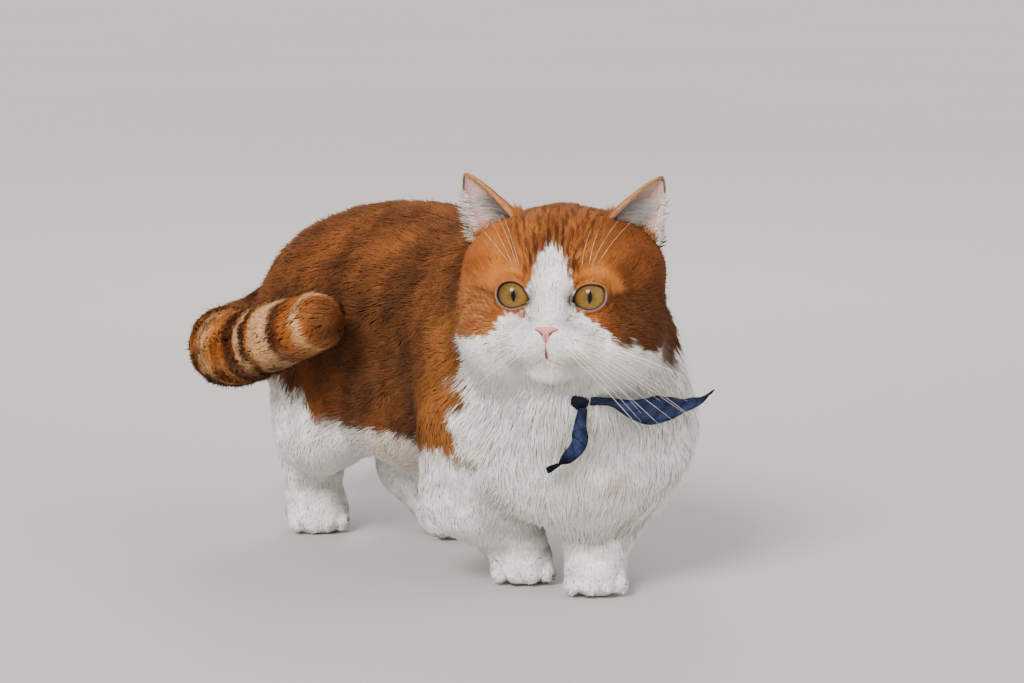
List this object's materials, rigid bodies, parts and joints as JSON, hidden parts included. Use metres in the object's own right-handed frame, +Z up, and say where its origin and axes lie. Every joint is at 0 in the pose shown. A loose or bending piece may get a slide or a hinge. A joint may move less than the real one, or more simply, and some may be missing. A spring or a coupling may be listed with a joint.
{
  "type": "munchkin cat",
  "caption": "Still, life-size munchkin cat, ginger and white, standing on short legs with its head turned right, its tail along its flank and a denim neckerchief",
  "frame": {"origin": "on the floor, under the middle of the cat's bounding box", "axes": "+Z up, the cat's body faces -Y and its left side is +X"},
  "size_m": [0.1884, 0.3492, 0.2192],
  "materials": {
    "ginger_fur": "short plush fur, ginger mottled with darker brown, soft sheen",
    "white_fur": "short plush fur, warm white",
    "ear": "thin skin with short ginger fur outside, pink inside with fine white hairs",
    "eye": "wet clear cornea over an olive-amber iris with a slit pupil",
    "nose_leather": "bare pink pebbled skin, slightly moist",
    "cloth": "denim twill, dark blue with darker stripes, rolled and frayed at its tips"
  },
  "bodies": {
    "root": {"head": "ginger_fur", "nose": "nose_leather", "ear_right": "ear", "eye_right": "eye", "ear_left": "ear", "eye_left": "eye", "neck": "white_fur", "torso": "ginger_fur", "front_right_leg": "white_fur", "front_left_leg": "white_fur", "hind_right_leg": "white_fur", "hind_left_leg": "white_fur", "tail_base": "ginger_fur", "tail_middle": "ginger_fur", "tail_tip": "ginger_fur", "bandana_band": "cloth", "bandana_knot": "cloth", "bandana_end_hanging": "cloth", "bandana_end_side": "cloth"}
  },
  "joints": []
}
